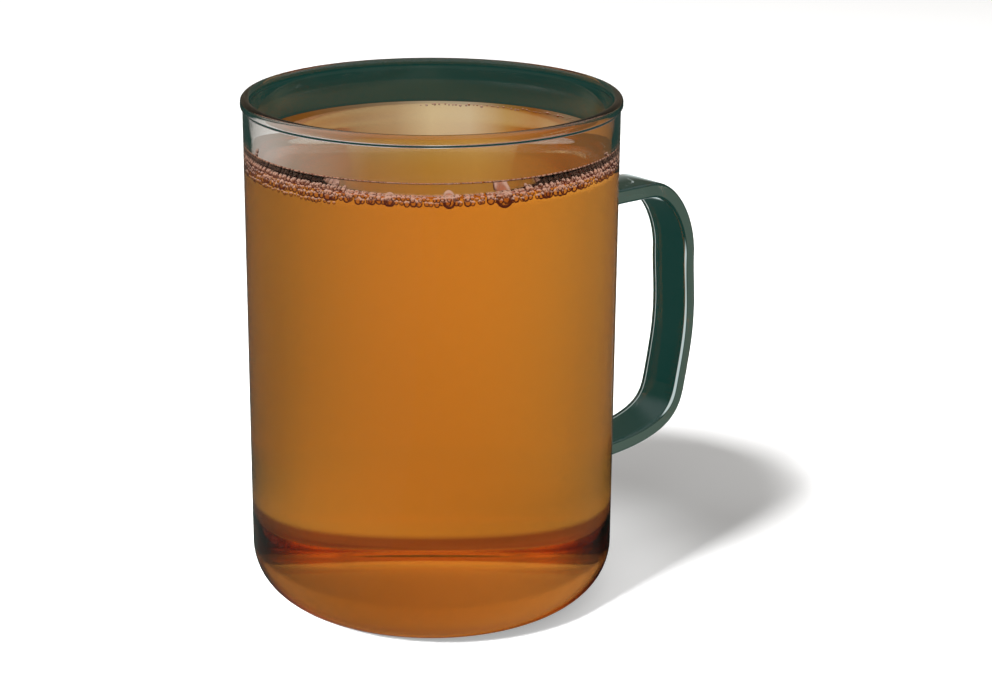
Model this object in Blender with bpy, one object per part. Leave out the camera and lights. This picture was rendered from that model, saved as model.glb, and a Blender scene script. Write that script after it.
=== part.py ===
"""A straight glass mug with a strap handle, filled with tea that carries a ring of small bubbles.

Metres, +Z up. The origin is on the mug's axis at its base, and the handle points along +X.
Radii are written in the plane of the turned outline: r from the axis, z above the base.
"""

import math
import random

import bmesh
import bpy
from mathutils import Matrix, Vector

WALL_RADIUS = 0.0415
MUG_HEIGHT = 0.1157
WALL_THICKNESS = 0.0018
FLOOR_THICKNESS = 0.0024
FOOT_RADIUS = 0.0115
RIM_BEAD_REACH = 0.0005
RIM_BEAD_HEIGHT = 0.0027
TURNING_STEPS = 64

HANDLE_WIDTH = 0.0122
HANDLE_EDGE_ROUND = 0.0009
HANDLE_ROOT_DEPTH = 0.0404
HANDLE_FLARE = 0.30
HANDLE_FLARE_LENGTH = 0.0025
TOP_ARM_THICKNESS = 0.0037
GRIP_THICKNESS = 0.0034
LOW_ARM_THICKNESS = 0.0035
TOP_ARM_Z = 0.0852
LOW_ARM_Z = 0.0221
TOP_BEND_START_X = 0.0618
GRIP_TOP = Vector((0.0752, 0.0672))
GRIP_MIDDLE = Vector((0.0759, 0.0531))
GRIP_FOOT = Vector((0.0734, 0.0341))
LOW_ARM_START = Vector((0.0612, 0.0234))
OUT = Vector((1.0, 0.0))
DOWN = Vector((0.0, -1.0))
GRIP_LEAN = Vector((-0.20, -1.0))
LOW_ARM_SLOPE = Vector((-1.0, -0.22))

TEA_GAP = 0.0003
TEA_LEVEL = 0.1013
MENISCUS_CLIMB = 0.0043
MENISCUS_WIDTH = 0.0007

VIEWED_SIDE = math.radians(-128)
FRONT_BUBBLES = 84
FRONT_BUBBLE_ARC = math.radians(187)
FRONT_BUBBLE_DRIFT = math.radians(0.35)
BACK_BUBBLES = 18
BACK_BUBBLE_ARC = math.radians(155)
BACK_BUBBLE_DRIFT = math.radians(3)
BUBBLE_WALL_GAP = 0.00035
BUBBLE_SIZES = (0.00050, 0.00092)
SMALL_BUBBLE_SIZES = (0.00042, 0.00055)
SMALLER_BUBBLE_BIAS = 1.6
BUBBLE_LIFT = 0.0003
BUBBLE_FLOAT = 0.55
BUBBLE_SEED = 11
LARGE_BUBBLES = ((12.5, 0.00195), (3.0, 0.00125), (-22.0, 0.00120), (-47.0, 0.00110))

INNER_RADIUS = WALL_RADIUS - WALL_THICKNESS
TEA_RADIUS = INNER_RADIUS - TEA_GAP


def clear_scene():
    """Removes what the startup scene holds."""
    for leftover in list(bpy.data.objects):
        bpy.data.objects.remove(leftover)


def principled(name, colour, roughness, transmission=0.0, ior=1.5):
    """A Principled material with one colour."""
    material = bpy.data.materials.new(name)
    material.use_nodes = True
    shader = material.node_tree.nodes["Principled BSDF"]
    shader.inputs["Base Color"].default_value = (*colour, 1.0)
    shader.inputs["Roughness"].default_value = roughness
    shader.inputs["Metallic"].default_value = 0.0
    shader.inputs["Transmission Weight"].default_value = transmission
    shader.inputs["IOR"].default_value = ior
    material.diffuse_color = (*colour, 1.0)
    return material


def arc(centre, radius, start, end, steps):
    """Points (r, z) of a round stretch, its angles in degrees from +r towards +z."""
    angles = [math.radians(start + (end - start) * i / steps) for i in range(steps + 1)]
    return [
        (centre[0] + radius * math.cos(a), centre[1] + radius * math.sin(a)) for a in angles
    ]


def linked(name, mesh_builder, material):
    """Puts a finished bmesh into a new object of the scene, shaded smooth with sharp corners kept."""
    mesh = bpy.data.meshes.new(name)
    mesh_builder.to_mesh(mesh)
    mesh_builder.free()
    mesh.materials.append(material)
    mesh.shade_smooth()
    mesh.set_sharp_from_angle(angle=math.radians(40))
    piece = bpy.data.objects.new(name, mesh)
    bpy.context.scene.collection.objects.link(piece)
    return piece


def turned(outline):
    """Spins an outline of (r, z) points that starts and ends on the axis into a closed body."""
    body = bmesh.new()
    points = [body.verts.new((r, 0.0, z)) for r, z in outline]
    edges = [body.edges.new(pair) for pair in zip(points, points[1:])]
    bmesh.ops.spin(
        body,
        geom=points + edges,
        cent=(0.0, 0.0, 0.0),
        axis=(0.0, 0.0, 1.0),
        angle=math.tau,
        steps=TURNING_STEPS,
    )
    bmesh.ops.remove_doubles(body, verts=body.verts, dist=1e-6)
    bmesh.ops.recalc_face_normals(body, faces=body.faces)
    return body


def cup_outline():
    """The mug's wall in section: up the outer side, over the beaded rim and down the inner side."""
    rim_radius = WALL_RADIUS + RIM_BEAD_REACH
    bead_thickness = rim_radius - INNER_RADIUS
    lip = bead_thickness / 2
    bead_foot = MUG_HEIGHT - RIM_BEAD_HEIGHT
    inner_round = FOOT_RADIUS - WALL_THICKNESS
    outline = [(0.0, 0.0)]
    outline += arc((WALL_RADIUS - FOOT_RADIUS, FOOT_RADIUS), FOOT_RADIUS, -90, 0, 7)
    outline += [(WALL_RADIUS, bead_foot), (rim_radius, bead_foot + RIM_BEAD_REACH)]
    outline += arc((rim_radius - lip, MUG_HEIGHT - lip), lip, 0, 180, 6)
    outline += arc(
        (INNER_RADIUS - inner_round, FLOOR_THICKNESS + inner_round), inner_round, 0, -90, 6
    )
    outline += [(0.0, FLOOR_THICKNESS)]
    return outline


def curve_point(start, first, second, end, t):
    """Point of a cubic Bezier stretch in the handle's plane."""
    s = 1 - t
    return s**3 * start + 3 * s * s * t * first + 3 * s * t * t * second + t**3 * end


def handle_path():
    """Points (x, z) along the middle of the strap and its thickness at each, from the top root down.

    The strap leaves the wall level, turns down through a wide bend, bows out to its furthest
    reach and comes back through a tighter bend and a gently sloping lower arm. Each knot has its
    place, the way that the strap runs there and its thickness. Each stretch has the lengths of
    its two pulls along those ways.
    """
    knots = (
        (Vector((HANDLE_ROOT_DEPTH, TOP_ARM_Z)), OUT, TOP_ARM_THICKNESS),
        (Vector((TOP_BEND_START_X, TOP_ARM_Z)), OUT, TOP_ARM_THICKNESS),
        (GRIP_TOP, DOWN, GRIP_THICKNESS),
        (GRIP_MIDDLE, DOWN, GRIP_THICKNESS),
        (GRIP_FOOT, GRIP_LEAN, GRIP_THICKNESS),
        (LOW_ARM_START, LOW_ARM_SLOPE, LOW_ARM_THICKNESS),
        (Vector((HANDLE_ROOT_DEPTH, LOW_ARM_Z)), -OUT, LOW_ARM_THICKNESS),
    )
    stretches = (
        (0.0070, 0.0070, 7),
        (0.0077, 0.0081, 9),
        (0.0047, 0.0047, 5),
        (0.0065, 0.0080, 6),
        (0.0047, 0.0098, 8),
        (0.0066, 0.0066, 7),
    )
    path = []
    for before, after, (first_pull, second_pull, steps) in zip(knots, knots[1:], stretches):
        start, start_way, start_thickness = before
        end, end_way, end_thickness = after
        first = start + start_way * first_pull
        second = end - end_way * second_pull
        for i in range(steps):
            t = i / steps
            thickness = start_thickness * (1 - t) + end_thickness * t
            path.append((curve_point(start, first, second, end, t), thickness))
    path.append((end, end_thickness))
    return path


def strap_section(width, thickness):
    """Corners (across, through) of the strap's cross-section, a rectangle with rounded edges."""
    round_off = min(HANDLE_EDGE_ROUND, 0.45 * thickness)
    section = []
    for side_a, side_b, start in ((1, 1, 0), (-1, 1, 90), (-1, -1, 180), (1, -1, 270)):
        centre = (side_a * (width / 2 - round_off), side_b * (thickness / 2 - round_off))
        section += arc(centre, round_off, start, start + 90, 2)
    return section


def strap():
    """The handle's glass, its rounded section carried along the path and closed inside the wall."""
    path = handle_path()
    body = bmesh.new()
    rings = []
    for number, (middle, thickness) in enumerate(path):
        before = path[max(number - 1, 0)][0]
        after = path[min(number + 1, len(path) - 1)][0]
        along = (after - before).normalized()
        outward = Vector((-along.y, along.x))
        flare = 1 + HANDLE_FLARE * math.exp(
            -max(middle.x - WALL_RADIUS, 0.0) / HANDLE_FLARE_LENGTH
        )
        ring = []
        for across, through in strap_section(HANDLE_WIDTH * flare, thickness * flare):
            spot = middle + outward * through
            ring.append(body.verts.new((spot.x, across, spot.y)))
        rings.append(ring)
    for ring, following in zip(rings, rings[1:]):
        for i in range(len(ring)):
            j = (i + 1) % len(ring)
            body.faces.new((ring[i], ring[j], following[j], following[i]))
    body.faces.new(rings[0])
    body.faces.new(rings[-1])
    bmesh.ops.recalc_face_normals(body, faces=body.faces)
    return body


def surface_height(radius):
    """Height of the tea's top at a distance from the axis: level, then climbing the glass."""
    return TEA_LEVEL + MENISCUS_CLIMB * math.exp((radius - TEA_RADIUS) / MENISCUS_WIDTH)


def tea_outline():
    """The tea in section: its rounded foot, its side and the top with its climbing edge."""
    floor = FLOOR_THICKNESS + TEA_GAP
    foot_round = FOOT_RADIUS - WALL_THICKNESS - TEA_GAP
    widths_from_edge = (0.0, 0.3, 0.7, 1.2, 2.0, 3.2, 6.0)
    outline = [(0.0, floor)]
    outline += arc((TEA_RADIUS - foot_round, floor + foot_round), foot_round, -90, 0, 6)
    for widths in widths_from_edge:
        radius = TEA_RADIUS - widths * MENISCUS_WIDTH
        outline.append((radius, surface_height(radius)))
    outline += [(TEA_RADIUS / 2, TEA_LEVEL), (0.0, TEA_LEVEL)]
    return outline


def bubble_ring():
    """Angle and radius of each bubble: crowded along the viewed side, a few small ones behind."""
    draw = random.Random(BUBBLE_SEED)
    least, most = BUBBLE_SIZES
    bubbles = [(VIEWED_SIDE + math.radians(turn), size) for turn, size in LARGE_BUBBLES]
    for number in range(FRONT_BUBBLES):
        share = (number + 0.5) / FRONT_BUBBLES - 0.5
        drift = draw.uniform(-FRONT_BUBBLE_DRIFT, FRONT_BUBBLE_DRIFT)
        size = least + (most - least) * draw.random() ** SMALLER_BUBBLE_BIAS
        bubbles.append((VIEWED_SIDE + FRONT_BUBBLE_ARC * share + drift, size))
    for number in range(BACK_BUBBLES):
        share = (number + 0.5) / BACK_BUBBLES - 0.5
        drift = draw.uniform(-BACK_BUBBLE_DRIFT, BACK_BUBBLE_DRIFT)
        size = draw.uniform(*SMALL_BUBBLE_SIZES)
        bubbles.append((VIEWED_SIDE + math.pi + BACK_BUBBLE_ARC * share + drift, size))
    return bubbles


def bubble(angle, size):
    """One bubble resting in the climbing edge of the tea, just clear of the glass."""
    radius = TEA_RADIUS - size - BUBBLE_WALL_GAP
    height = TEA_LEVEL + BUBBLE_LIFT + BUBBLE_FLOAT * size
    body = bmesh.new()
    bmesh.ops.create_uvsphere(body, u_segments=6, v_segments=4, radius=size)
    turn = Matrix.Rotation(angle, 3, "Z")
    bmesh.ops.rotate(body, verts=body.verts, cent=(0.0, 0.0, 0.0), matrix=turn)
    bmesh.ops.translate(
        body, verts=body.verts, vec=(radius * math.cos(angle), radius * math.sin(angle), height)
    )
    return body


def fused(base, additions):
    """Joins every addition to the base in one Boolean union and removes the additions."""
    group = bpy.data.collections.new(base.name + "_additions")
    for piece in additions:
        bpy.context.scene.collection.objects.unlink(piece)
        group.objects.link(piece)
    bpy.context.scene.collection.children.link(group)
    union = base.modifiers.new("fuse", "BOOLEAN")
    union.operation = "UNION"
    union.operand_type = "COLLECTION"
    union.collection = group
    union.solver = "EXACT"
    bpy.context.view_layer.objects.active = base
    bpy.ops.object.modifier_apply(modifier=union.name)
    for piece in additions:
        bpy.data.objects.remove(piece)
    bpy.data.collections.remove(group)
    return base


def build_mug():
    """The clear glass mug, its cup and handle one piece of glass."""
    glass = principled("clear_glass", (0.90, 0.96, 0.94), 0.03, transmission=1.0, ior=1.5)
    cup = linked("glass_mug", turned(cup_outline()), glass)
    handle = linked("handle", strap(), glass)
    return fused(cup, [handle])


def build_tea():
    """The tea up to its level, with the bubbles that stand along its edge."""
    liquid = principled("tea_liquid", (0.52, 0.17, 0.02), 0.05, transmission=0.4, ior=1.33)
    tea = linked("tea", turned(tea_outline()), liquid)
    bubbles = [
        linked(f"bubble_{number}", bubble(angle, size), liquid)
        for number, (angle, size) in enumerate(bubble_ring())
    ]
    return fused(tea, bubbles)


clear_scene()
build_mug()
build_tea()
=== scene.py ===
"""Looks of a straight glass mug of tea: clear glass, amber tea and its bubbles.

Metres, +Z up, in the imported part's frame: the mug's axis is Z, its base lies at z = 0 and the
handle points along +X. Outlines are (r, z) points, r being the distance from the mug's axis.
"""

import logging
import math
from dataclasses import dataclass, field
from enum import Enum

import bpy
import numpy as np
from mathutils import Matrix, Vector


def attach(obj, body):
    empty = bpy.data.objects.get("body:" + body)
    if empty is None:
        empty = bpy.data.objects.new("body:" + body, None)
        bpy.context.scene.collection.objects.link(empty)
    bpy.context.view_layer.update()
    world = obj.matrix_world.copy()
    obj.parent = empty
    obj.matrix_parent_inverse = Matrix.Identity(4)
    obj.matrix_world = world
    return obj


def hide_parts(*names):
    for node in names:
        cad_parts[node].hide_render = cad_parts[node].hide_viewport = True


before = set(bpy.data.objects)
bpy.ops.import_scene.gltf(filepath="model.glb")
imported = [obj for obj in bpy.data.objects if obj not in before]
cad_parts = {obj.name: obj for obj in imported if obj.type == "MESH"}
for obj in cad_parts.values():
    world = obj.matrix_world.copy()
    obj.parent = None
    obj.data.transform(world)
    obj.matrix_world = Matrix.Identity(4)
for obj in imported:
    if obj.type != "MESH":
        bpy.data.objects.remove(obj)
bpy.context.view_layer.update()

Colour = tuple[float, float, float]
Span = tuple[float, float]
Stops = tuple[tuple[float, float, float, float], ...]
Tree = bpy.types.NodeTree
Socket = bpy.types.NodeSocket

LOG = logging.getLogger("glass_of_tea")
BODY = "root"
ONE_WALL = 2.5
SURFACE_AND_WALL = 4.5
STREAK_WAY = (0.788, -0.616, 0.0)
RISING = (0.0, 1.0)
FALLING = (1.0, 0.0)
BLACK = (0.0, 0.0, 0.0)
WHITE = (1.0, 1.0, 1.0)
STEPS_ROUND = 240


class Slot(Enum):
    """The record's material slots."""

    GLASS = "clear_glass"
    TEA = "tea_liquid"


class Node(Enum):
    """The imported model's nodes."""

    MUG = "glass_mug"
    TEA = "tea"


def arc(centre: Span, radius: float, start: float, end: float, steps: int) -> np.ndarray:
    """Points of an arc: centre + radius (cos a, sin a), a from start to end in degrees."""
    angles = np.radians(np.linspace(start, end, steps + 1))
    return np.asarray(centre) + radius * np.column_stack((np.cos(angles), np.sin(angles)))


def straight(start: Span, end: Span, steps: int) -> np.ndarray:
    """Evenly spaced points from start, which is left out, to end, which is kept."""
    shares = np.linspace(0.0, 1.0, steps + 1)[1:, None]
    return np.asarray(start) * (1 - shares) + np.asarray(end) * shares


def grid_faces(rows: int, columns: int) -> np.ndarray:
    """Quads between neighbours of a grid of points stored row after row, its rows closed rings.

    Args:
        rows: number of rows of points.
        columns: number of points in a row.

    Returns:
        An array of (faces, 4) point numbers.
    """
    row = np.arange(rows - 1)[:, None] * columns
    column = np.arange(columns)[None, :]
    following = (column + 1) % columns
    corners = (row + column, row + following, row + columns + following, row + columns + column)
    return np.stack(corners, axis=-1).reshape(-1, 4)


def cap_faces(pole: int, first: np.ndarray, second: np.ndarray) -> np.ndarray:
    """Triangles between a pole and the first and second point of each pair on a ring."""
    return np.column_stack((np.full(len(first), pole), first, second))


def mesh_piece(name: str, points: np.ndarray, faces: list) -> bpy.types.Object:
    """A smooth-shaded object from points and faces.

    Args:
        name: the piece's name.
        points: (n, 3) coordinates.
        faces: lists of point numbers, anticlockwise from outside.

    Returns:
        The new object, linked to the scene.
    """
    mesh = bpy.data.meshes.new(name)
    mesh.from_pydata(points.tolist(), [], faces)
    mesh.validate()
    mesh.shade_smooth()
    piece = bpy.data.objects.new(name, mesh)
    bpy.context.scene.collection.objects.link(piece)
    return piece


def turned(name: str, outline: np.ndarray) -> bpy.types.Object:
    """A closed turned body: point (r, z) of the outline at angle a goes to (r cos a, r sin a, z).

    Args:
        name: the piece's name.
        outline: (n, 2) points from the axis, up the outer side and back to the axis.

    Returns:
        The new object.
    """
    angles = np.linspace(0.0, math.tau, STEPS_ROUND, endpoint=False)
    radii, heights = outline[1:-1, :1], outline[1:-1, 1:]
    ring = np.stack(
        (radii * np.cos(angles), radii * np.sin(angles), heights + 0 * angles), axis=-1
    ).reshape(-1, 3)
    poles = np.array([[0.0, 0.0, outline[0, 1]], [0.0, 0.0, outline[-1, 1]]])
    last_row = len(ring) - STEPS_ROUND
    columns = np.arange(STEPS_ROUND)
    following = (columns + 1) % STEPS_ROUND
    faces = grid_faces(len(radii), STEPS_ROUND).tolist()
    faces += cap_faces(len(ring), following, columns).tolist()
    faces += cap_faces(len(ring) + 1, last_row + columns, last_row + following).tolist()
    return mesh_piece(name, np.vstack((ring, poles)), faces)


def new_finish(name: str) -> tuple[bpy.types.Material, bpy.types.Node]:
    """A new material and its Principled BSDF.

    Args:
        name: the material's name.

    Returns:
        The material and the shader node.
    """
    material = bpy.data.materials.new(name)
    material.use_nodes = True
    return material, material.node_tree.nodes["Principled BSDF"]


def clear_finish(
    name: str, colour: Colour, roughness: float, ior: float
) -> tuple[bpy.types.Material, bpy.types.Node]:
    """A new clear material and its Principled BSDF.

    Args:
        name: the material's name.
        colour: its tint.
        roughness: its roughness.
        ior: its index of refraction.

    Returns:
        The material and the shader node.
    """
    material, shader = new_finish(name)
    shader.inputs["Base Color"].default_value = (*colour, 1.0)
    shader.inputs["Roughness"].default_value = roughness
    shader.inputs["IOR"].default_value = ior
    shader.inputs["Transmission Weight"].default_value = 1.0
    return material, shader


def feed(tree: Tree, entry: Socket, value: float | Colour | Socket) -> None:
    """Links an output to an input, or sets the input where the value is a number or a colour.

    Args:
        tree: the node tree.
        entry: the input.
        value: an output socket, a number or a colour.
    """
    if isinstance(value, bpy.types.NodeSocket):
        tree.links.new(value, entry)
    elif isinstance(value, tuple):
        entry.default_value = (*value, 1.0)
    else:
        entry.default_value = value


def calculated(tree: Tree, operation: str, *values: float | Socket) -> Socket:
    """A Math node.

    Args:
        tree: the node tree.
        operation: the node's operation.
        values: its inputs in order, as numbers or output sockets.

    Returns:
        The result socket.
    """
    node = tree.nodes.new("ShaderNodeMath")
    node.operation = operation
    for entry, value in zip(node.inputs, values):
        feed(tree, entry, value)
    return node.outputs["Value"]


def product(tree: Tree, first: Socket, second: float | Socket) -> Socket:
    """One value times another."""
    return calculated(tree, "MULTIPLY", first, second)


def ranged(tree: Tree, source: Socket, span: Span, values: Span = RISING) -> Socket:
    """A Map Range node: the first value up to the span's start, the second one from its end on.

    Args:
        tree: the node tree.
        source: the value to map.
        span: start and end of the source's range, in either order.
        values: the results at the two ends.

    Returns:
        The result socket.
    """
    node = tree.nodes.new("ShaderNodeMapRange")
    node.interpolation_type = "SMOOTHSTEP"
    node.inputs["From Min"].default_value, node.inputs["From Max"].default_value = span
    node.inputs["To Min"].default_value, node.inputs["To Max"].default_value = values
    tree.links.new(source, node.inputs["Value"])
    return node.outputs["Result"]


def blend(
    tree: Tree, share: Socket, first: Colour | Socket, second: Colour | Socket
) -> Socket:
    """A mix of two colours.

    Args:
        tree: the node tree.
        share: how much there is of the second colour.
        first: colour at 0, as numbers or an output socket.
        second: colour at 1.

    Returns:
        The result socket.
    """
    node = tree.nodes.new("ShaderNodeMix")
    node.data_type = "RGBA"
    tree.links.new(share, node.inputs["Factor"])
    feed(tree, node.inputs["A"], first)
    feed(tree, node.inputs["B"], second)
    return node.outputs["Result"]


def stops(tree: Tree, value: Socket, colours: Stops) -> Socket:
    """A Color Ramp.

    Args:
        tree: the node tree.
        value: the ramp's input.
        colours: position, red, green and blue of each stop, the first at 0 and the last at 1.

    Returns:
        The colour socket.
    """
    ramp = tree.nodes.new("ShaderNodeValToRGB")
    elements = ramp.color_ramp.elements
    elements[0].color = (*colours[0][1:], 1.0)
    elements[1].color = (*colours[-1][1:], 1.0)
    for position, *colour in colours[1:-1]:
        elements.new(position).color = (*colour, 1.0)
    tree.links.new(value, ramp.inputs["Fac"])
    return ramp.outputs["Color"]


def vector_math(tree: Tree, operation: str, vector: Socket) -> bpy.types.Node:
    """A Vector Math node.

    Args:
        tree: the node tree.
        operation: the node's operation.
        vector: its first input.

    Returns:
        The node.
    """
    node = tree.nodes.new("ShaderNodeVectorMath")
    node.operation = operation
    tree.links.new(vector, node.inputs[0])
    return node


def along(tree: Tree, vector: Socket, way: Colour) -> Socket:
    """A vector's part along a fixed way: their dot product.

    Args:
        tree: the node tree.
        vector: the vector.
        way: the way.

    Returns:
        The result socket.
    """
    node = vector_math(tree, "DOT_PRODUCT", vector)
    node.inputs[1].default_value = way
    return node.outputs["Value"]


def level_way(angle: float) -> Colour:
    """A level unit vector, the angle being from +X."""
    return (math.cos(angle), math.sin(angle), 0.0)


def split(tree: Tree, vector: Socket) -> tuple[Socket, ...]:
    """A vector's X, Y and Z.

    Args:
        tree: the node tree.
        vector: the vector.

    Returns:
        The three sockets.
    """
    node = tree.nodes.new("ShaderNodeSeparateXYZ")
    tree.links.new(vector, node.inputs["Vector"])
    return tuple(node.outputs)


def object_place(tree: Tree) -> Socket:
    """Object coordinates."""
    return tree.nodes.new("ShaderNodeTexCoord").outputs["Object"]


def ray(tree: Tree, name: str) -> Socket:
    """An output of a Light Path node."""
    return tree.nodes.new("ShaderNodeLightPath").outputs[name]


def normal_of(tree: Tree) -> Socket:
    """The surface's normal."""
    return tree.nodes.new("ShaderNodeNewGeometry").outputs["Normal"]


def front_side(tree: Tree) -> Socket:
    """1 where a surface is seen from outside, 0 where it is seen from inside."""
    geometry = tree.nodes.new("ShaderNodeNewGeometry")
    return ranged(tree, geometry.outputs["Backfacing"], RISING, FALLING)


def slant(tree: Tree) -> Socket:
    """How far a surface turns away from the eye: Layer Weight's Facing, 1 edge on."""
    return tree.nodes.new("ShaderNodeLayerWeight").outputs["Facing"]


def glow(tree: Tree, colour: Colour | Socket, strength: float | Socket = 1.0) -> Socket:
    """An Emission shader.

    Args:
        tree: the node tree.
        colour: its colour, as numbers or an output socket.
        strength: its strength, likewise.

    Returns:
        The shader's socket.
    """
    node = tree.nodes.new("ShaderNodeEmission")
    feed(tree, node.inputs["Color"], colour)
    feed(tree, node.inputs["Strength"], strength)
    return node.outputs["Emission"]


def mixed(tree: Tree, share: Socket, first: Socket, second: Socket) -> Socket:
    """A Mix Shader.

    Args:
        tree: the node tree.
        share: how much there is of the second shader.
        first: the first shader.
        second: the second shader.

    Returns:
        The shader's socket.
    """
    node = tree.nodes.new("ShaderNodeMixShader")
    for entry, source in zip(node.inputs, (share, first, second)):
        tree.links.new(source, entry)
    return node.outputs["Shader"]


def show(tree: Tree, shader: Socket) -> None:
    """Links a shader to the material's surface."""
    tree.links.new(shader, tree.nodes["Material Output"].inputs["Surface"])


def lets_light_through(tree: Tree, shader: Socket, share: float) -> None:
    """Shows a clear finish and lets shadow rays pass it, so that what stands behind it is lit.

    Args:
        tree: the material's node tree.
        shader: the finish's main shader.
        share: how much of the light passes, from 0 to 1.
    """
    passing = product(tree, ray(tree, "Is Shadow Ray"), share)
    clear = tree.nodes.new("ShaderNodeBsdfTransparent").outputs["BSDF"]
    show(tree, mixed(tree, passing, shader, clear))


@dataclass(frozen=True)
class Waviness:
    """Shader node group with the faint unevenness of drawn glass and still liquid, as a height."""

    name: str = "faint_waviness"
    detail: float = 1.5
    roughness: float = 0.35

    def group(self) -> Tree:
        """The group, built once: noise on object coordinates, stretched by its Scale input.

        Returns:
            The node group.
        """
        found = bpy.data.node_groups.get(self.name)
        if found:
            return found
        group = bpy.data.node_groups.new(self.name, "ShaderNodeTree")
        for name, way in (("Scale", "INPUT"), ("Amount", "INPUT"), ("Height", "OUTPUT")):
            group.interface.new_socket(name, in_out=way, socket_type="NodeSocketFloat")
        entry = group.nodes.new("NodeGroupInput")
        leaving = group.nodes.new("NodeGroupOutput")
        noise = group.nodes.new("ShaderNodeTexNoise")
        noise.inputs["Detail"].default_value = self.detail
        noise.inputs["Roughness"].default_value = self.roughness
        group.links.new(object_place(group), noise.inputs["Vector"])
        group.links.new(entry.outputs["Scale"], noise.inputs["Scale"])
        height = product(group, noise.outputs["Fac"], entry.outputs["Amount"])
        group.links.new(height, leaving.inputs["Height"])
        return group

    def bump(self, tree: Tree, scale: float, distance: float) -> Socket:
        """A Bump node fed by the group.

        Args:
            tree: the material's node tree.
            scale: how many waves there are to a metre.
            distance: the height of the waves in metres.

        Returns:
            The bumped normal's socket.
        """
        waves = tree.nodes.new("ShaderNodeGroup")
        waves.node_tree = self.group()
        waves.inputs["Scale"].default_value = scale
        waves.inputs["Amount"].default_value = 1.0
        bump = tree.nodes.new("ShaderNodeBump")
        bump.inputs["Strength"].default_value = 1.0
        bump.inputs["Distance"].default_value = distance
        tree.links.new(waves.outputs["Height"], bump.inputs["Height"])
        return bump.outputs["Normal"]


@dataclass(frozen=True)
class ClearGlass:
    """Fire-polished clear glass with the faint waviness of blown ware."""

    name: str = "clear_glass"
    tint: Colour = (0.985, 1.0, 0.99)
    ior: float = 1.48
    wave_scale: float = 28.0
    wave_height: float = 0.00002
    light_passing: float = 0.96
    strap_span: Span = (0.0435, 0.0455)
    silhouette_span: Span = (0.74, 0.95)
    corner_span: Span = (0.05, 0.10)
    corner_share: Span = (0.8, 0.0)
    side_span: Span = (-0.90, -0.98)
    # Painted highlights, shown as emission, on the strap's edges and narrow sides.
    painted_edge_highlight: Colour = (0.58, 0.66, 0.66)
    painted_side_highlight: Colour = (0.055, 0.058, 0.046)

    def material(self) -> bpy.types.Material:
        """The finish as a material.

        Returns:
            The material.
        """
        material, shader = clear_finish(self.name, self.tint, 0.0, self.ior)
        tree = material.node_tree
        bump = Waviness().bump(tree, self.wave_scale, self.wave_height)
        tree.links.new(bump, shader.inputs["Normal"])
        self.paint_strap_highlights(tree, shader)
        lets_light_through(tree, shader.outputs["BSDF"], self.light_passing)
        return material

    def paint_strap_highlights(self, tree: Tree, shader: bpy.types.Node) -> None:
        """Painted highlights, shown as emission, on the strap's rounded edges and narrow sides.

        Args:
            tree: the material's node tree.
            shader: its Principled BSDF.
        """
        on_strap = ranged(tree, split(tree, object_place(tree))[0], self.strap_span)
        facing = slant(tree)
        silhouette = ranged(tree, facing, self.silhouette_span)
        corner = ranged(tree, facing, self.corner_span, self.corner_share)
        sideways = ranged(tree, split(tree, normal_of(tree))[1], self.side_span)
        side = blend(tree, sideways, BLACK, self.painted_side_highlight)
        tone = blend(
            tree, calculated(tree, "MAXIMUM", silhouette, corner), side, self.painted_edge_highlight
        )
        # Painted highlights: emission on the strap's silhouette, edge corners and narrow sides.
        tree.links.new(tone, shader.inputs["Emission Color"])
        strength = product(tree, on_strap, front_side(tree))
        tree.links.new(strength, shader.inputs["Emission Strength"])


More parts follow.
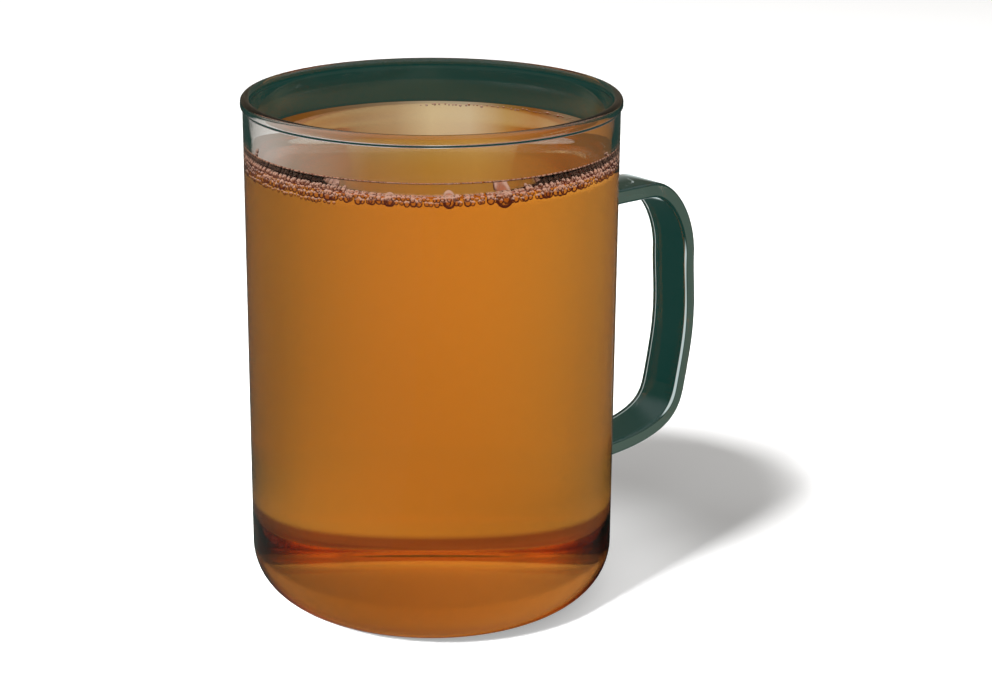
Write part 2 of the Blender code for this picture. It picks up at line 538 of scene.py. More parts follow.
@dataclass(frozen=True)
class BrewedTea:
    """Amber tea: a clear liquid that absorbs most of the blue and green along its depth.

    The sheen is a painted highlight and reflection: emission on its surface, set by the place
    across the painted streak of light, one for the surface seen over the rim and one for what is
    seen of it through the wall. Painted shade darkens the sides of its upright wall.
    """

    name: str = "brewed_tea"
    kept: Colour = (0.905, 0.625, 0.014)
    density: float = 51.0
    ior: float = 1.33
    # Painted shade darkening the sides of the tea's upright wall.
    upright_span: Span = (0.03, 0.20)
    painted_half_shade: Colour = (0.436, 0.400, 0.400)
    sides: Colour = (0.100, 0.070, 0.070)
    sides_from: float = 0.38
    sides_up_to: Span = (0.0990, 0.1022)
    # Painted sheen: emission on the tea's surface standing in for highlights and reflections.
    sheen_reach: float = 0.040
    sheen_lift: Span = (0.02, 0.08)
    sheen: Stops = (
        (0.00, 0.74, 0.64, 0.58),
        (0.12, 0.43, 0.33, 0.25),
        (0.33, 0.33, 0.165, 0.05),
        (0.50, 0.42, 0.20, 0.03),
        (0.62, 0.48, 0.235, 0.045),
        (0.86, 0.29, 0.105, 0.02),
        (1.00, 0.24, 0.10, 0.03),
    )
    painted_open_sheen: Stops = (
        (0.00, 0.20, 0.09, 0.03),
        (0.13, 0.31, 0.11, 0.015),
        (0.28, 0.27, 0.17, 0.085),
        (0.39, 0.37, 0.25, 0.14),
        (0.50, 0.64, 0.50, 0.30),
        (0.61, 0.62, 0.49, 0.32),
        (0.72, 0.40, 0.21, 0.05),
        (0.80, 0.35, 0.12, 0.02),
        (0.89, 0.37, 0.24, 0.13),
        (1.00, 0.20, 0.12, 0.07),
    )
    painted_sheen_share: float = 0.72
    painted_open_share: float = 0.58

    def material(self) -> bpy.types.Material:
        """The finish as a material.

        Returns:
            The material.
        """
        material, shader = clear_finish(self.name, WHITE, 0.0, self.ior)
        tree = material.node_tree
        self.paint_side_shade(tree, shader)
        show(tree, self.with_painted_sheen(tree, shader))
        volume = tree.nodes.new("ShaderNodeVolumeAbsorption")
        volume.inputs["Color"].default_value = (*self.kept, 1.0)
        volume.inputs["Density"].default_value = self.density
        tree.links.new(volume.outputs["Volume"], tree.nodes["Material Output"].inputs["Volume"])
        return material

    def paint_side_shade(self, tree: Tree, shader: bpy.types.Node) -> None:
        """Painted shade: darker towards the sides of the upright wall, at a ray's first crossing
        only.

        Args:
            tree: the material's node tree.
            shader: its Principled BSDF.
        """
        level = calculated(tree, "ABSOLUTE", split(tree, normal_of(tree))[2])
        upright = ranged(tree, level, self.upright_span, FALLING)
        first = calculated(tree, "COMPARE", ray(tree, "Transmission Depth"), 1.0, 0.5)
        below = ranged(tree, split(tree, object_place(tree))[2], self.sides_up_to, FALLING)
        share = product(tree, below, product(tree, upright, first))
        tones = (
            (0.0, *WHITE),
            (self.sides_from / 2, *self.painted_half_shade),
            (self.sides_from, *self.sides),
            (1.0, *self.sides),
        )
        # Painted shade in the base colour, darker as the wall turns edge on.
        tone = blend(tree, share, WHITE, stops(tree, slant(tree), tones))
        tree.links.new(tone, shader.inputs["Base Color"])

    def with_painted_sheen(self, tree: Tree, shader: bpy.types.Node) -> Socket:
        """Adds the painted sheen, an emission in place of light scattered at the surface, chosen by
        the walls that a ray has passed.

        Args:
            tree: the material's node tree.
            shader: its Principled BSDF.

        Returns:
            The shader's socket.
        """
        place = tree.nodes.new("ShaderNodeMapRange")
        place.inputs["From Min"].default_value = -self.sheen_reach
        place.inputs["From Max"].default_value = self.sheen_reach
        tree.links.new(along(tree, object_place(tree), STREAK_WAY), place.inputs["Value"])
        across = place.outputs["Result"]
        depth = ray(tree, "Transmission Depth")
        over_rim = calculated(tree, "COMPARE", depth, 0.0, 0.5)
        through_wall = calculated(tree, "COMPARE", depth, 3.0, 1.5)
        tone = blend(
            tree, over_rim, stops(tree, across, self.sheen), stops(tree, across, self.painted_open_sheen)
        )
        shown = calculated(
            tree,
            "ADD",
            product(tree, over_rim, self.painted_open_share),
            product(tree, through_wall, self.painted_sheen_share),
        )
        upper = ranged(tree, split(tree, normal_of(tree))[2], self.sheen_lift)
        share = product(tree, product(tree, front_side(tree), upper), shown)
        # The painted sheen's emission is mixed over the clear shader.
        return mixed(tree, share, shader.outputs["BSDF"], glow(tree, tone))


@dataclass(frozen=True)
class BubbleFilm:
    """A bubble's film: clear in the middle, with painted shade at its lower edge and a painted
    highlight where it faces up.
    """

    name: str = "bubble_film"
    roughness: float = 0.05
    middle: Colour = (1.0, 0.86, 0.74)
    # Painted shade at the lower edge and a painted highlight on top, shown as emission.
    rim: Colour = (0.080, 0.012, 0.004)
    top: Colour = (0.66, 0.38, 0.29)
    painted_highlight_span: Span = (0.30, 0.72)
    film_span: Span = (0.12, 0.36)
    film_share: Span = (0.25, 1.0)
    ior: float = 1.05

    def material(self) -> bpy.types.Material:
        """The finish as a material.

        Returns:
            The material.
        """
        material, shader = clear_finish(self.name, self.middle, self.roughness, self.ior)
        tree = material.node_tree
        upper = ranged(tree, split(tree, normal_of(tree))[2], self.painted_highlight_span)
        # Painted film: emission with painted shade below and a painted highlight above.
        film = glow(tree, blend(tree, upper, self.rim, self.top))
        edge = ranged(tree, slant(tree), self.film_span, self.film_share)
        shown = product(tree, front_side(tree), edge)
        lets_light_through(tree, mixed(tree, shown, shader.outputs["BSDF"], film), 1.0)
        return material


@dataclass(frozen=True)
class PaleFloor:
    """The plain white tabletop, with a painted pool of light near the mug in place of the light
    that the tea gathers.

    Rays that pass the whole cup of tea see an even white, with painted shade where they graze it
    and close to the mug, and a painted shadow of the mug. Rays that pass one wall see the dark
    green card behind the mug, and those that pass the tea's surface or two bare walls see a
    painted streak of light in a warm tone that is white far off, and painted window light.
    To reflections the table is dark, as the surroundings of a studio are.
    """

    name: str = "pale_floor"
    colour: Colour = (0.86, 0.86, 0.86)
    reflected: Colour = (0.030, 0.036, 0.032)
    # A painted pool of light near the mug, seen by the camera only.
    painted_light_pool: Span = (0.38, 0.0)
    gathered_span: Span = (0.046, 0.084)
    # Painted shade where rays graze the tea and near the mug, and a painted shadow of the mug.
    grazing_span: Span = (0.822, 0.892)
    grazing_painted_shade: Colour = (0.47, 0.29, 0.36)
    near_span: Span = (0.06, 0.30)
    near_painted_shade: Span = (0.88, 1.0)
    shade: Span = (1.0, 0.66)
    shade_way: float = math.radians(12)
    shade_span: Span = (0.70, 1.0)
    card: Colour = (0.006, 0.037, 0.030)
    card_way: float = math.radians(47)
    card_edge: Span = (0.66, 0.82)
    beside_card: Colour = (0.80, 0.82, 0.81)
    # A painted streak of light on the table and painted window light beyond, seen through the tea's
    # surface.
    under_surface: Colour = (0.56, 0.38, 0.17)
    beyond: Colour = (1.05, 0.98, 0.84)
    beyond_span: Span = (0.22, 0.36)
    streak_middle: float = 0.005
    streak_span: Span = (0.003, 0.023)
    beside_streak: Colour = (0.38, 0.15, 0.04)
    window_span: Span = (-0.031, -0.037)
    window: Colour = (0.84, 0.80, 0.78)
    reflected_once: Span = (1.0, 0.06)

    def material(self) -> bpy.types.Material:
        """The finish as a material.

        Returns:
            The material.
        """
        material, lit = new_finish(self.name)
        tree = material.node_tree
        lit.inputs["Roughness"].default_value = 1.0
        lit.inputs["Specular IOR Level"].default_value = 0.0
        place = object_place(tree)
        distance = vector_math(tree, "LENGTH", place).outputs["Value"]
        bearing = vector_math(tree, "NORMALIZE", place).outputs["Vector"]
        camera_ray = ray(tree, "Is Camera Ray")
        base = blend(tree, camera_ray, self.reflected, self.colour)
        tree.links.new(base, lit.inputs["Base Color"])
        # Painted pool of light: emission near the mug for camera rays.
        painted_light_pool = ranged(tree, distance, self.gathered_span, self.painted_light_pool)
        lit.inputs["Emission Color"].default_value = (*WHITE, 1.0)
        tree.links.new(product(tree, painted_light_pool, camera_ray), lit.inputs["Emission Strength"])
        depth = ray(tree, "Transmission Depth")
        deep = mixed(
            tree,
            calculated(tree, "GREATER_THAN", depth, SURFACE_AND_WALL),
            self.through_surface(tree, place, distance),
            self.through_tea(tree, bearing, distance),
        )
        past_wall = calculated(tree, "GREATER_THAN", depth, ONE_WALL)
        through = mixed(tree, past_wall, self.through_wall(tree, bearing), deep)
        show(tree, mixed(tree, ray(tree, "Is Transmission Ray"), lit.outputs["BSDF"], through))
        return material

    def through_tea(self, tree: Tree, bearing: Socket, distance: Socket) -> Socket:
        """White seen through the tea, with painted shade where the ray grazes: its strength is
        painted shade near the mug times a painted shadow.

        Args:
            tree: the material's node tree.
            bearing: unit vector from the mug's axis to the place.
            distance: distance from the mug's axis.

        Returns:
            The shader's socket.
        """
        # Painted shade near the mug times a painted shadow, then painted shade where the ray
        # grazes.
        near = ranged(tree, distance, self.near_span, self.near_painted_shade)
        way = along(tree, bearing, level_way(self.shade_way))
        white = product(tree, near, ranged(tree, way, self.shade_span, self.shade))
        level = ranged(tree, slant(tree), self.grazing_span)
        return glow(tree, blend(tree, level, WHITE, self.grazing_painted_shade), white)

    def through_surface(self, tree: Tree, place: Socket, distance: Socket) -> Socket:
        """A painted streak of light on the table, what lies beside it and painted window light
        beyond.

        Args:
            tree: the material's node tree.
            place: object coordinates.
            distance: distance from the mug's axis.

        Returns:
            The shader's socket.
        """
        # Painted streak of light and painted window light, shown as emission.
        far = ranged(tree, distance, self.beyond_span)
        streak = blend(tree, far, self.under_surface, self.beyond)
        across = along(tree, place, STREAK_WAY)
        off = calculated(
            tree, "ABSOLUTE", calculated(tree, "SUBTRACT", across, self.streak_middle)
        )
        surface = blend(tree, ranged(tree, off, self.streak_span), streak, self.beside_streak)
        tone = blend(tree, ranged(tree, across, self.window_span), surface, self.window)
        once = ranged(tree, ray(tree, "Glossy Depth"), RISING, self.reflected_once)
        return glow(tree, tone, once)

    def through_wall(self, tree: Tree, bearing: Socket) -> Socket:
        """The card, and the pale studio beside it where the ray was never reflected.

        Args:
            tree: the material's node tree.
            bearing: unit vector from the mug's axis to the place.

        Returns:
            The shader's socket.
        """
        way = along(tree, bearing, level_way(self.card_way))
        off_card = ranged(tree, way, self.card_edge, FALLING)
        straight_on = ranged(tree, ray(tree, "Glossy Depth"), RISING, FALLING)
        pale = product(tree, off_card, straight_on)
        return glow(tree, blend(tree, pale, self.card, self.beside_card))


@dataclass
class CupGlass:
    """The straight cup with its rounded foot and beaded rim."""

    wall_radius: float = 0.0415
    height: float = 0.1157
    wall: float = 0.0018
    floor: float = 0.0024
    foot_round: float = 0.0115
    bead_reach: float = 0.0005
    bead_height: float = 0.0027
    bead_rise: float = 0.0009
    bead_steps: int = 6
    round_steps: int = 16
    inner_foot_steps: int = 14
    ring_spacing: float = 0.004

    @property
    def inner_radius(self) -> float:
        """Radius of the inside of the wall."""
        return self.wall_radius - self.wall

    @property
    def lip(self) -> float:
        """Radius of the rim's rounded top."""
        return (self.wall_radius + self.bead_reach - self.inner_radius) / 2

    def outer_outline(self) -> np.ndarray:
        """The outer side from the edge of the flat base to the rim's outermost ring.

        The bead swells by reach (3 s^2 - 2 s^3), s being the share of its rise.

        Returns:
            An array of (n, 2) points.
        """
        bead_foot = self.height - self.bead_height
        rings = round((bead_foot - self.foot_round) / self.ring_spacing)
        centre = (self.wall_radius - self.foot_round, self.foot_round)
        foot = arc(centre, self.foot_round, -90, 0, self.round_steps)
        wall = straight(
            (self.wall_radius, self.foot_round), (self.wall_radius, bead_foot), rings
        )
        shares = np.linspace(0.0, 1.0, self.bead_steps + 1)[1:]
        swell = self.bead_reach * shares * shares * (3 - 2 * shares)
        bead = np.column_stack((self.wall_radius + swell, bead_foot + self.bead_rise * shares))
        rim = (self.wall_radius + self.bead_reach, self.height - self.lip)
        return np.vstack((foot, wall, bead, straight(tuple(bead[-1]), rim, 2)))

    def outline(self) -> np.ndarray:
        """The whole section: base, outer side, rim, inner side and floor.

        Returns:
            An array of (n, 2) points.
        """
        inner_round = self.foot_round - self.wall
        floor_edge = (self.inner_radius - inner_round, self.floor + inner_round)
        lip_centre = (self.inner_radius + self.lip, self.height - self.lip)
        rings = round((lip_centre[1] - floor_edge[1]) / self.ring_spacing)
        inside = self.inner_radius
        return np.vstack(
            (
                [[0.0, 0.0], [self.wall_radius / 4, 0.0]],
                self.outer_outline(),
                arc(lip_centre, self.lip, 0, 180, self.round_steps)[1:],
                straight((inside, lip_centre[1]), (inside, floor_edge[1]), rings),
                arc(floor_edge, inner_round, 0, -90, self.inner_foot_steps)[1:],
                [[self.wall_radius / 4, self.floor], [0.0, self.floor]],
            )
        )

    def build(self) -> bpy.types.Object:
        """The cup's glass as one closed turned body."""
        return turned("cup_glass", self.outline())


@dataclass
class StrapHandle:
    """The flat strap of glass: a level arm, a wide bend, a bowed grip and a sloping lower arm."""

    width: float = 0.0122
    edge_round: float = 0.0009
    edge_steps: int = 5
    root_depth: float = 0.0404
    flare: float = 0.30
    flare_length: float = 0.0025
    wall_radius: float = 0.0415
    top_thickness: float = 0.0037
    grip_thickness: float = 0.0034
    low_thickness: float = 0.0035
    top_z: float = 0.0852
    low_z: float = 0.0221
    top_bend_start_x: float = 0.0618
    grip_top: Span = (0.0752, 0.0672)
    grip_middle: Span = (0.0759, 0.0531)
    grip_foot: Span = (0.0734, 0.0341)
    low_arm_start: Span = (0.0612, 0.0234)
    grip_lean: Span = (-0.20, -1.0)
    low_arm_slope: Span = (-1.0, -0.22)
    pulls: tuple[Span, ...] = (
        (0.0070, 0.0070),
        (0.0077, 0.0081),
        (0.0047, 0.0047),
        (0.0065, 0.0080),
        (0.0047, 0.0098),
        (0.0066, 0.0066),
    )
    steps: tuple[int, ...] = (16, 26, 16, 18, 24, 16)
    points: np.ndarray = field(init=False)
    outward: np.ndarray = field(init=False)
    thickness: np.ndarray = field(init=False)

    def __post_init__(self) -> None:
        """Works out the middle line, the outward direction and the thickness along the strap."""
        self.points, self.thickness = self._middle_line()
        way = np.gradient(self.points, axis=0)
        way /= np.linalg.norm(way, axis=1, keepdims=True)
        self.outward = np.column_stack((-way[:, 1], way[:, 0]))

    def _middle_line(self) -> tuple[np.ndarray, np.ndarray]:
        """Cubic Bezier stretches s^3 a + 3 s^2 t b + 3 s t^2 c + t^3 d, with s = 1 - t.

        Each knot has its place, the way that the strap runs there and its thickness, and b and c
        lie along those ways from a and d, as far as the stretch's two pulls say.

        Returns:
            The (x, z) points from the top root to the lower one, and the thickness at each.
        """
        out, down = (1.0, 0.0), (0.0, -1.0)
        places = np.array(
            [
                (self.root_depth, self.top_z),
                (self.top_bend_start_x, self.top_z),
                self.grip_top,
                self.grip_middle,
                self.grip_foot,
                self.low_arm_start,
                (self.root_depth, self.low_z),
            ]
        )
        ways = np.array([out, out, down, down, self.grip_lean, self.low_arm_slope, (-1.0, 0.0)])
        depths = np.repeat((self.top_thickness, self.grip_thickness, self.low_thickness), (2, 3, 2))
        points, thickness = [], []
        for number, (first_pull, second_pull) in enumerate(self.pulls):
            t = np.linspace(0.0, 1.0, self.steps[number] + 1)[:-1, None]
            s = 1 - t
            a, d = places[number], places[number + 1]
            b = a + ways[number] * first_pull
            c = d - ways[number + 1] * second_pull
            points.append(s**3 * a + 3 * s * s * t * b + 3 * s * t * t * c + t**3 * d)
            thickness.append((depths[number] * s + depths[number + 1] * t)[:, 0])
        points.append(places[-1:])
        thickness.append(depths[-1:])
        return np.vstack(points), np.concatenate(thickness)

    def flares(self) -> np.ndarray:
        """How much the section is widened at each point: 1 + flare exp(-clear / length).

        Returns:
            An array of factors, clear being each point's distance from the wall.
        """
        clear = np.maximum(self.points[:, 0] - self.wall_radius, 0.0)
        return 1 + self.flare * np.exp(-clear / self.flare_length)

    def carried(self, name: str, sections: np.ndarray) -> bpy.types.Object:
        """Carries a closed section along the strap and closes its ends.

        Args:
            name: the piece's name.
            sections: (stations, corners, 2) values, across the strap and through it.

        Returns:
            The new object.
        """
        stations, corners = sections.shape[:2]
        middle = self.points[:, None, :] + self.outward[:, None, :] * sections[:, :, 1:2]
        points = np.stack((middle[:, :, 0], sections[:, :, 0], middle[:, :, 1]), axis=-1)
        points = points.reshape(-1, 3)
        faces = grid_faces(stations, corners).tolist()
        faces.append(list(range(corners)))
        faces.append(list(range(len(points) - 1, len(points) - corners - 1, -1)))
        return mesh_piece(name, points, faces)

    def build(self) -> bpy.types.Object:
        """The strap's glass, a rectangle with rounded edges carried along the middle line.

        Returns:
            The new object.
        """
        flares = self.flares()
        half_width = (self.width / 2 * flares)[:, None]
        half_depth = (self.thickness / 2 * flares)[:, None]
        rounding = self.edge_round
        quarter = np.radians(np.linspace(0.0, 90.0, self.edge_steps + 1))
        angles = np.concatenate([quarter + k * math.pi / 2 for k in range(4)])
        side_across = np.repeat([1.0, -1.0, -1.0, 1.0], len(quarter))
        side_through = np.repeat([1.0, 1.0, -1.0, -1.0], len(quarter))
        across = side_across * (half_width - rounding) + rounding * np.cos(angles)
        through = side_through * (half_depth - rounding) + rounding * np.sin(angles)
        return self.carried("strap_glass", np.stack((across, through), axis=-1))


@dataclass
class GlassMug:
    """The mug's glass: the cup and its handle joined into one body."""

    cup: CupGlass
    handle: StrapHandle
    crease: float = math.radians(50)
    finish: ClearGlass = field(default_factory=ClearGlass)

    def build(self) -> bpy.types.Object:
        """Joins the strap to the cup by a Boolean union and dresses the result.

        Returns:
            The new object, which stands for the CAD node.
        """
        cup = self.cup.build()
        strap = self.handle.build()
        union = cup.modifiers.new("join_strap", "BOOLEAN")
        union.operation = "UNION"
        union.object = strap
        union.solver = "EXACT"
        graph = bpy.context.evaluated_depsgraph_get()
        joined = bpy.data.meshes.new_from_object(cup.evaluated_get(graph))
        for leftover in (cup, strap):
            bpy.data.objects.remove(leftover)
        joined.name = "mug_glass"
        joined.materials.clear()
        joined.materials.append(self.finish.material())
        joined.shade_smooth()
        joined.set_sharp_from_angle(angle=self.crease)
        piece = bpy.data.objects.new("mug_glass", joined)
        bpy.context.scene.collection.objects.link(piece)
        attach(piece, BODY)
        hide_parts(Node.MUG.value)
        LOG.info("mug_glass: %d faces", len(joined.polygons))
        return piece


@dataclass
class TeaFill:
    """The tea, reaching just into the glass, with an edge that climbs the wall.

    The surface's rings crowd towards the wall.
    """

    cup: CupGlass
    level: float = 0.1013
    climb: float = 0.0043
    climb_width: float = 0.0007
    climb_reach: float = 9.0
    climb_steps: int = 22
    climb_crowding: float = 1.8
    inner_rings: tuple[float, ...] = (0.028, 0.020, 0.010)
    bite: float = 0.0001
    side_end: float = 0.002
    side_steps: int = 20
    finish: BrewedTea = field(default_factory=BrewedTea)

    def surface(self, radius: np.ndarray) -> np.ndarray:
        """Height of the surface: level + climb exp((r - R) / width), R being the cup's inside."""
        return self.level + self.climb * np.exp((radius - self.cup.inner_radius) / self.climb_width)

    def outline(self) -> np.ndarray:
        """The tea's section from the floor up its side and over its surface.

        Returns:
            An array of (n, 2) points.
        """
        side = self.cup.inner_radius + self.bite
        floor = self.cup.floor - self.bite
        foot = self.cup.foot_round - self.cup.wall + self.bite
        shares = np.linspace(0.0, 1.0, self.climb_steps) ** self.climb_crowding
        radii = side - shares * self.climb_reach * self.climb_width
        radii = np.concatenate((radii, self.inner_rings))
        top = np.column_stack((radii, self.surface(np.minimum(radii, self.cup.inner_radius))))
        side_end = (side, self.level - self.side_end)
        return np.vstack(
            (
                [[0.0, floor], [side / 3, floor]],
                arc((side - foot, floor + foot), foot, -90, 0, self.cup.round_steps),
                straight((side, floor + foot), side_end, self.side_steps),
                top,
                [[0.0, self.level]],
            )
        )

    def build(self) -> bpy.types.Object:
        """The tea as one closed turned body that stands for the CAD node.

        Returns:
            The new object.
        """
        piece = turned("tea_fill", self.outline())
        piece.data.materials.append(self.finish.material())
        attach(piece, BODY)
        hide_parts(Node.TEA.value)
        LOG.info("tea_fill: %d faces", len(piece.data.polygons))
        return piece


@dataclass
class Bubbles:
    """The bubbles along the glass: a crowded double row in front and a few small ones behind.

    A row has its number, first and last angle from the front in degrees, least and greatest
    radius, how strongly small ones prevail, and its height above the tea.
    """

    tea: TeaFill
    finish: BubbleFilm = field(default_factory=BubbleFilm)
    front: float = math.radians(-128)
    seed: int = 11
    columns: int = 14
    bands: int = 9
    uneven_step: float = 0.35
    uneven_height: float = 0.0002
    wall_gap: float = 0.0001
    large_sunk: float = 0.15
    rows_of: tuple[tuple[int, float, float, float, float, float, float], ...] = (
        (128, -94.0, 94.0, 0.00036, 0.00062, 1.3, 0.00060),
        (104, -92.0, 90.0, 0.00050, 0.00090, 1.4, -0.00030),
        (46, -92.0, -26.0, 0.00036, 0.00070, 1.3, 0.00160),
        (40, -90.0, -30.0, 0.00030, 0.00060, 1.4, -0.00140),
        (26, 28.0, 88.0, 0.00034, 0.00062, 1.4, 0.00150),
        (40, 124.0, 184.0, 0.00016, 0.00034, 1.6, 0.00350),
    )
    large: tuple[Span, ...] = (
        (22.8, 0.00185),
        (5.3, 0.00135),
        (-13.0, 0.00105),
        (-33.0, 0.00115),
        (37.0, 0.00110),
        (52.0, 0.00100),
        (-52.0, 0.00100),
    )

    def row(self, degrees: np.ndarray, height: np.ndarray, size: np.ndarray) -> np.ndarray:
        """Bubbles that lean on the wall: angle in radians, distance from the axis, height, size."""
        reach = self.tea.cup.inner_radius - size - self.wall_gap
        return np.column_stack((self.front + np.radians(degrees), reach, height, size))

    def rows(self) -> np.ndarray:
        """All the bubbles, drawn at random from the seed.

        Returns:
            An array of rows: angle in radians, distance from the axis, height and radius.
        """
        draw = np.random.default_rng(self.seed)
        uneven = self.uneven_height
        bubbles = []
        for count, start, end, least, most, bias, lift in self.rows_of:
            step = (end - start) / count
            shift = draw.uniform(-self.uneven_step, self.uneven_step, count)
            degrees = start + step * (np.arange(count) + 0.5) + shift * step
            size = least + (most - least) * draw.random(count) ** bias
            height = self.tea.level + lift + draw.uniform(-uneven, uneven, count)
            bubbles.append(self.row(degrees, height, size))
        degrees, size = np.array(self.large).T
        bubbles.append(self.row(degrees, self.tea.level - self.large_sunk * size, size))
        return np.vstack(bubbles)

    def build(self) -> bpy.types.Object:
        """All the bubbles as one mesh: point = centre + size (sin v cos u, sin v sin u, cos v).

        Returns:
            The new object.
        """
        rows = self.rows()
        u = np.linspace(0.0, math.tau, self.columns, endpoint=False)
        v = np.linspace(0.0, math.pi, self.bands + 1)[1:-1, None]
        ball = np.stack(
            (np.sin(v) * np.cos(u), np.sin(v) * np.sin(u), np.cos(v) + 0 * u), axis=-1
        ).reshape(-1, 3)
        ball = np.vstack((ball, [[0.0, 0.0, 1.0], [0.0, 0.0, -1.0]]))
        angle, reach, height, size = rows.T
        centres = np.column_stack((reach * np.cos(angle), reach * np.sin(angle), height))
        points = centres[:, None, :] + size[:, None, None] * ball[None, :, :]
        quads = grid_faces(self.bands - 1, self.columns)[:, ::-1]
        column = np.arange(self.columns)
        following = (column + 1) % self.columns
        lowest = (self.bands - 2) * self.columns
        caps = np.vstack(
            (
                cap_faces(len(ball) - 2, column, following),
                cap_faces(len(ball) - 1, lowest + following, lowest + column),
            )
        )
        starts = (np.arange(len(rows)) * len(ball))[:, None, None]
        faces = (quads[None] + starts).reshape(-1, 4).tolist()
        faces += (caps[None] + starts).reshape(-1, 3).tolist()
        piece = mesh_piece("bubble_ring", points.reshape(-1, 3), faces)
        piece.data.materials.append(self.finish.material())
        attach(piece, BODY)
        LOG.info("bubble_ring: %d bubbles", len(rows))
        return piece


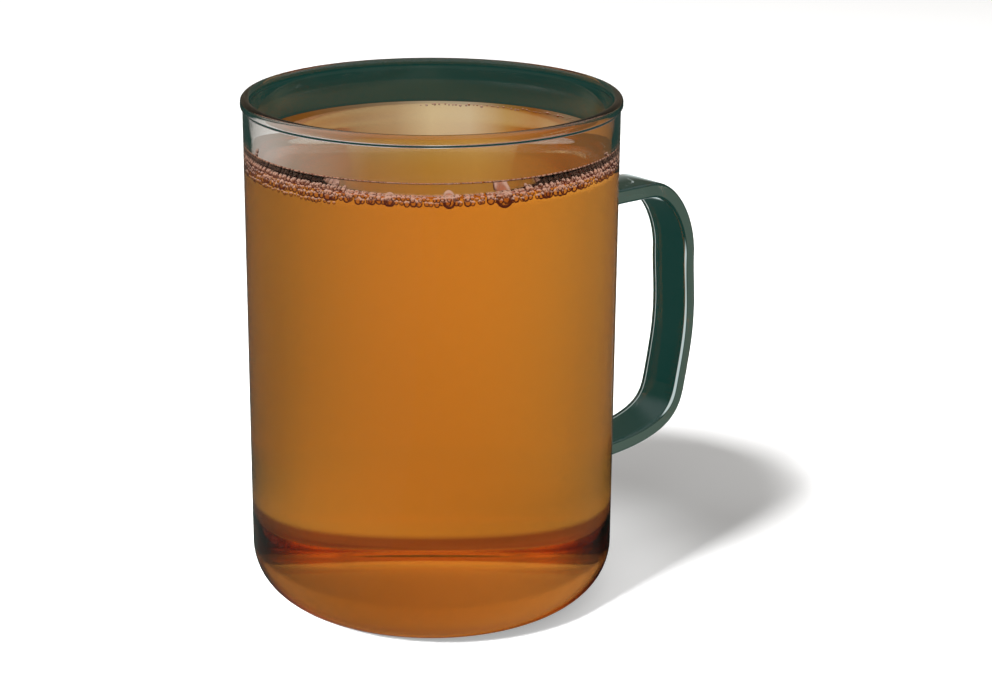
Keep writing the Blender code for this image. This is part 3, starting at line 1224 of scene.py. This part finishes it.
@dataclass
class Studio:
    """Camera, soft light, white surroundings and the pale floor."""

    azimuth: float = math.radians(-38)
    elevation: float = math.radians(18)
    distance: float = 0.5165
    target: Colour = (0.0, 0.0, 0.0593)
    lens: float = 82.58
    sensor: float = 36.0
    shift: float = 0.0649
    clip_start: float = 0.01
    bounces: int = 32
    floor_half: float = 3.0
    floor_level: float = -0.0002
    key_place: Colour = (-0.438, -0.476, 0.889)
    key_aim: Colour = (0.0, 0.0, 0.05)
    key_size: float = 0.20
    key_power: float = 34.0
    through_heights: Span = (0.04, 0.30)
    through_colours: tuple[Colour, Colour] = ((0.42, 0.24, 0.32), (0.68, 0.55, 0.60))
    high_heights: Span = (0.44, 0.58)
    high: Colour = (1.5, 1.4, 1.3)
    top_heights: Span = (0.66, 0.86)
    top: Colour = (0.85, 0.85, 0.85)
    # A painted shadow: darker towards the mug's shadow side, for rays through the tea.
    shade_way: float = math.radians(12)
    shade_span: Span = (0.55, 1.0)
    shade: Span = (0.0, 0.40)
    card: Colour = (0.013, 0.046, 0.038)
    card_way: float = math.radians(52)
    card_edge: Span = (0.70, 0.84)
    beside_card: Colour = (0.9, 0.92, 0.91)
    reflected_low: Colour = (0.02, 0.024, 0.02)
    light_heights: Span = (0.35, 0.75)
    light_colours: tuple[Colour, Colour] = ((0.15, 0.125, 0.09), (0.80, 0.80, 0.80))
    off_light_span: Span = (0.45, 0.75)
    off_light: Span = (1.0, 0.12)

    def directions(self) -> tuple[Vector, Vector, Vector]:
        """Unit vectors from the mug towards the camera's right, away from it and up.

        Returns:
            The three vectors.
        """
        right = Vector((math.cos(self.azimuth), math.sin(self.azimuth), 0.0))
        away = Vector((-math.sin(self.azimuth), math.cos(self.azimuth), 0.0))
        return right, away, Vector((0.0, 0.0, 1.0))

    def camera(self) -> None:
        """The camera at the photograph's angle."""
        _, away, up = self.directions()
        back = -away * math.cos(self.elevation) + up * math.sin(self.elevation)
        data = bpy.data.cameras.new("camera")
        data.lens = self.lens
        data.sensor_width = self.sensor
        data.shift_x = self.shift
        data.clip_start = self.clip_start
        camera = bpy.data.objects.new("camera", data)
        bpy.context.scene.collection.objects.link(camera)
        camera.location = Vector(self.target) + back * self.distance
        camera.rotation_mode = "QUATERNION"
        camera.rotation_quaternion = (-back).to_track_quat("-Z", "Y")
        bpy.context.scene.camera = camera

    def key_light(self) -> None:
        """The soft key light, aimed at the mug.

        Its place is the distance to the camera's right, away from it and up.
        """
        data = bpy.data.lights.new("key_light", "AREA")
        data.shape = "RECTANGLE"
        data.size = data.size_y = self.key_size
        data.energy = self.key_power
        lamp = bpy.data.objects.new("key_light", data)
        bpy.context.scene.collection.objects.link(lamp)
        right, away, up = self.directions()
        lamp.location = (
            right * self.key_place[0] + away * self.key_place[1] + up * self.key_place[2]
        )
        lamp.rotation_mode = "QUATERNION"
        aim = Vector(self.key_aim) - lamp.location
        lamp.rotation_quaternion = aim.to_track_quat("-Z", "Y")
        lamp.visible_transmission = False
        lamp.visible_glossy = False

    def surroundings(self) -> None:
        """White to the eye, and by direction for what is seen through glass and for reflections."""
        world = bpy.data.worlds.new("studio")
        world.use_nodes = True
        tree = world.node_tree
        direction = tree.nodes.new("ShaderNodeTexCoord").outputs["Generated"]
        height = split(tree, direction)[2]
        to_card = along(tree, direction, level_way(self.card_way))
        bright = product(
            tree,
            ranged(tree, height, self.light_heights),
            ranged(tree, to_card, self.off_light_span, self.off_light),
        )
        lighting = blend(tree, bright, *self.light_colours)
        unreflected = ranged(tree, ray(tree, "Glossy Depth"), RISING, FALLING)
        off_card = ranged(tree, to_card, self.card_edge, FALLING)
        one_wall = blend(tree, product(tree, off_card, unreflected), self.card, self.beside_card)
        depth = ray(tree, "Transmission Depth")
        past_wall = calculated(tree, "GREATER_THAN", depth, ONE_WALL)
        past_surface = calculated(tree, "GREATER_THAN", depth, SURFACE_AND_WALL)
        deep = calculated(tree, "MAXIMUM", past_surface, product(tree, past_wall, unreflected))
        through = blend(
            tree,
            deep,
            blend(tree, past_wall, one_wall, self.reflected_low),
            self.through_tea(tree, direction, height),
        )
        not_eye = blend(tree, ray(tree, "Is Transmission Ray"), lighting, through)
        colour = blend(tree, ray(tree, "Is Camera Ray"), not_eye, WHITE)
        tree.links.new(colour, tree.nodes["Background"].inputs["Color"])
        bpy.context.scene.world = world

    def through_tea(self, tree: Tree, direction: Socket, height: Socket) -> Socket:
        """What a ray through the tea sees: brighter above, with a painted shadow towards the
        shadow's side.

        Args:
            tree: the world's node tree.
            direction: the ray's direction.
            height: its part upwards.

        Returns:
            The colour socket.
        """
        low = blend(tree, ranged(tree, height, self.through_heights), *self.through_colours)
        seen = blend(tree, ranged(tree, height, self.high_heights), low, self.high)
        seen = blend(tree, ranged(tree, height, self.top_heights), seen, self.top)
        # Painted shadow towards the mug's shadow side.
        to_shade = along(tree, direction, level_way(self.shade_way))
        return blend(tree, ranged(tree, to_shade, self.shade_span, self.shade), seen, BLACK)

    def floor(self) -> None:
        """The floor, a wide sheet at the mug's base."""
        half, level = self.floor_half, self.floor_level
        corners = [[-half, -half], [half, -half], [half, half], [-half, half]]
        points = np.column_stack((corners, np.full(4, level)))
        piece = mesh_piece("floor", points, [[0, 1, 2, 3]])
        piece.data.materials.append(PaleFloor().material())

    def build(self) -> None:
        """Sets the studio up."""
        scene = bpy.context.scene
        scene.view_settings.view_transform = "Standard"
        scene.cycles.max_bounces = self.bounces
        scene.cycles.transmission_bounces = self.bounces
        scene.cycles.glossy_bounces = self.bounces
        scene.cycles.caustics_refractive = False
        self.camera()
        self.surroundings()
        self.floor()
        self.key_light()
        LOG.info("studio ready")


def main() -> None:
    """Builds the mug, its tea and the studio in order."""
    logging.basicConfig(level=logging.INFO, format="%(name)s: %(message)s")
    cup = CupGlass()
    handle = StrapHandle()
    GlassMug(cup, handle).build()
    tea = TeaFill(cup)
    tea.build()
    Bubbles(tea).build()
    Studio().build()


if __name__ == "__main__":
    main()
